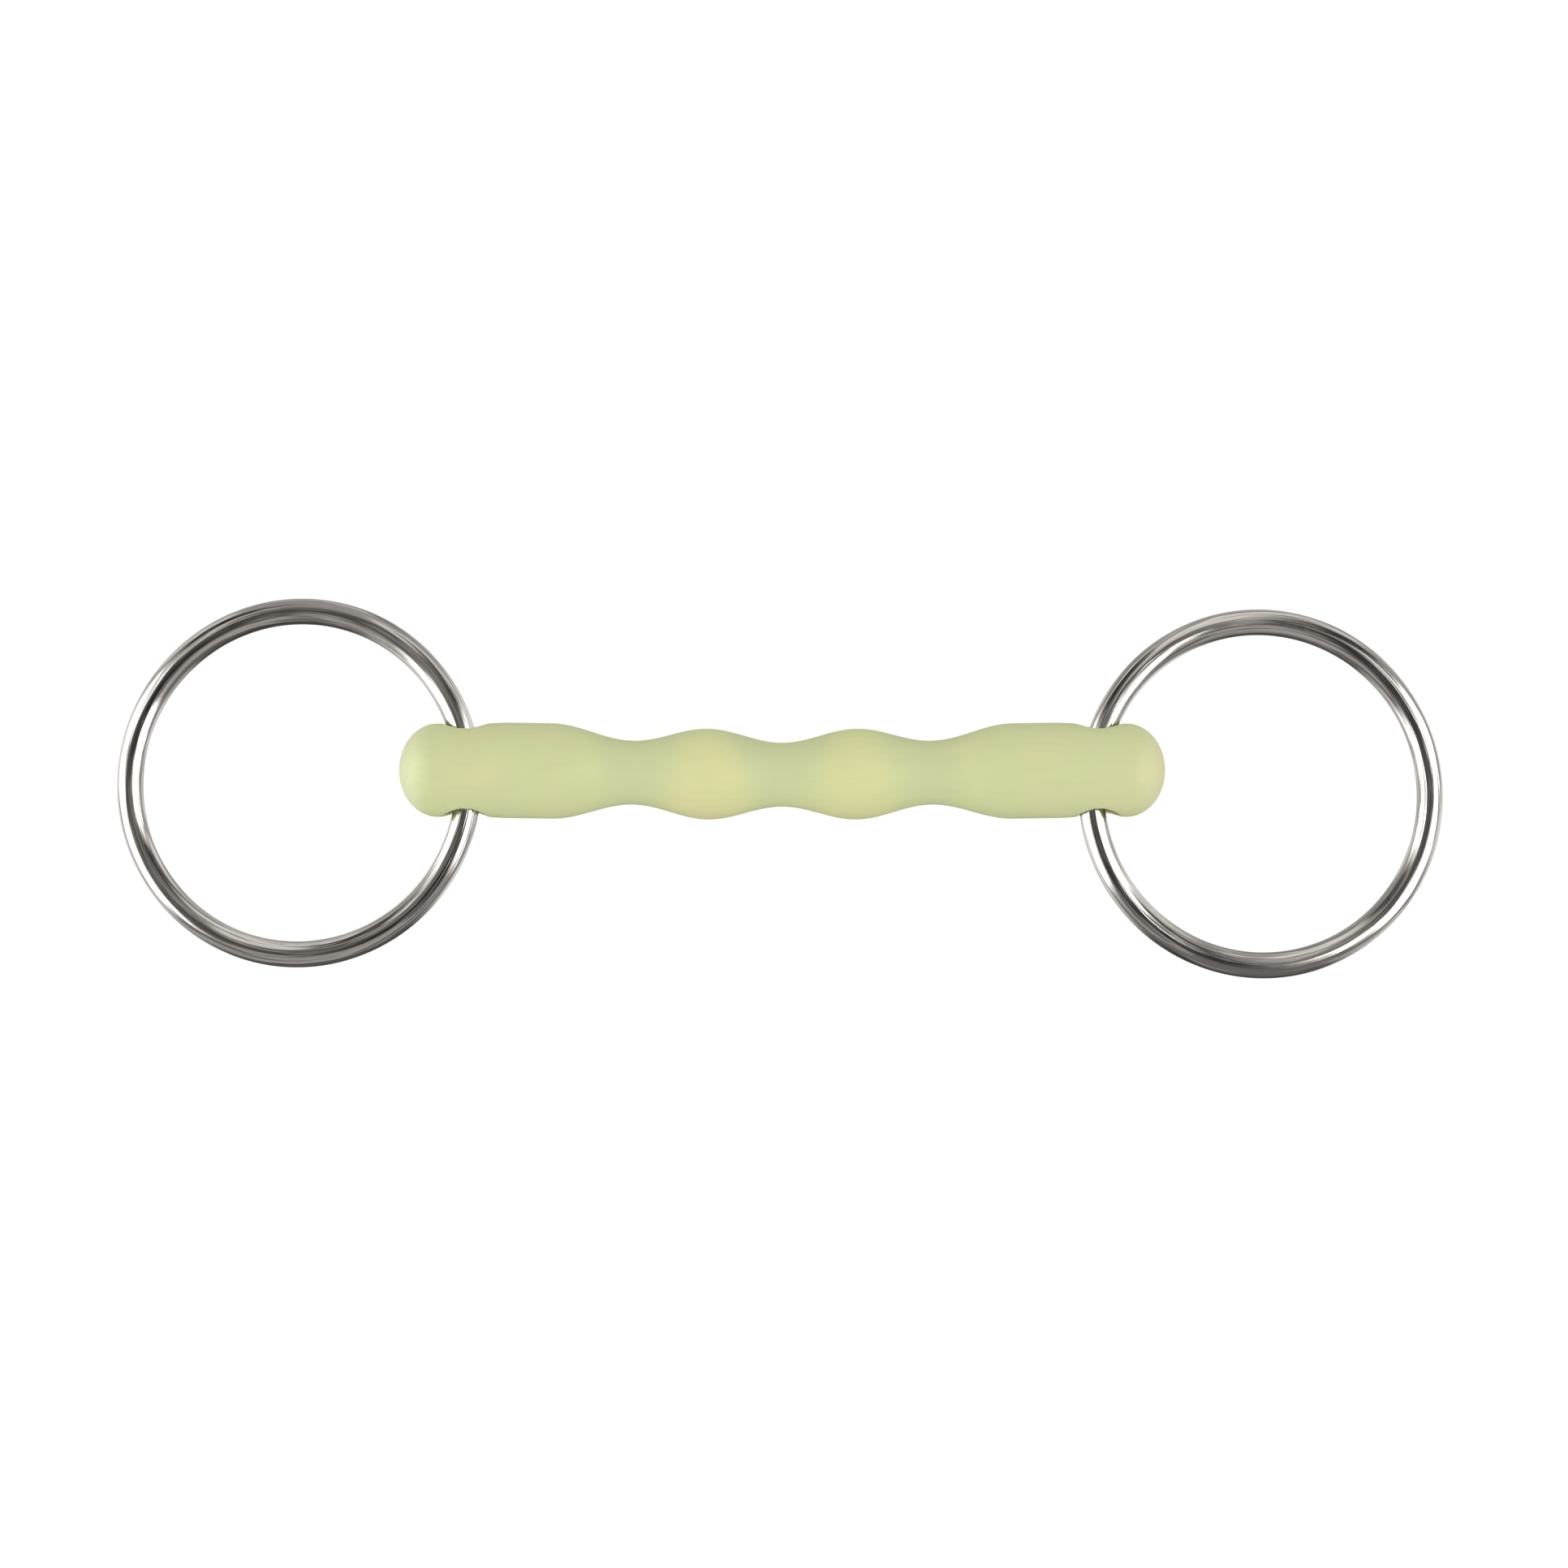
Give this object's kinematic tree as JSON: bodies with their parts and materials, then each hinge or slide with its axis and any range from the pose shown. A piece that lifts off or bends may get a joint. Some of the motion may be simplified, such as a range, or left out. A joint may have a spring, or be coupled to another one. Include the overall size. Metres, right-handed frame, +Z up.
{
  "type": "loose ring snaffle bit",
  "caption": "Loose ring snaffle bit with a moulded, rippled, flexible mouthpiece in pale green polyurethane and round polished steel rings that swing and spin freely.",
  "frame": {"origin": "on the table that the bit lies on, straight under the middle of the mouthpiece", "axes": "+X along the mouthpiece towards the right ring, +Y along the two ring holes, +Z up from the table"},
  "size_m": [0.2797, 0.0801, 0.02],
  "materials": {
    "moulding": "semi-matte moulded polyurethane, faintly translucent",
    "rings": "polished stainless steel wire",
    "fittings": "turned stainless steel",
    "cable": "drawn stainless steel wire"
  },
  "bodies": {
    "mouthpiece": {"mouthpiece": "moulding", "cable_core": "cable", "cable_wire_1": "cable", "cable_wire_2": "cable", "cable_wire_3": "cable", "cable_wire_4": "cable", "cable_wire_5": "cable", "cable_wire_6": "cable", "left_ferrule": "fittings", "right_ferrule": "fittings"},
    "left_bush": {"left_bush": "fittings"},
    "right_bush": {"right_bush": "fittings"},
    "left_ring": {"left_ring": "rings"},
    "right_ring": {"right_ring": "rings"}
  },
  "joints": [
    {"name": "left_ring_swing", "type": "hinge", "parent": "mouthpiece", "child": "left_bush", "pos_m": [-0.0663, 0, 0.01], "axis": [0, 1, 0], "range_deg": [-144, 156]},
    {"name": "left_ring_spin", "type": "hinge", "parent": "left_bush", "child": "left_ring", "pos_m": [-0.10162, -0.0023, 0.00641], "axis": [-0.1012, 0, 0.9949], "continuous": true},
    {"name": "right_ring_swing", "type": "hinge", "parent": "mouthpiece", "child": "right_bush", "pos_m": [0.0663, 0, 0.01], "axis": [0, -1, 0], "range_deg": [-144, 156]},
    {"name": "right_ring_spin", "type": "hinge", "parent": "right_bush", "child": "right_ring", "pos_m": [0.10072, -0.0046, 0.00645], "axis": [0.1025, 0, 0.9947], "continuous": true}
  ]
}
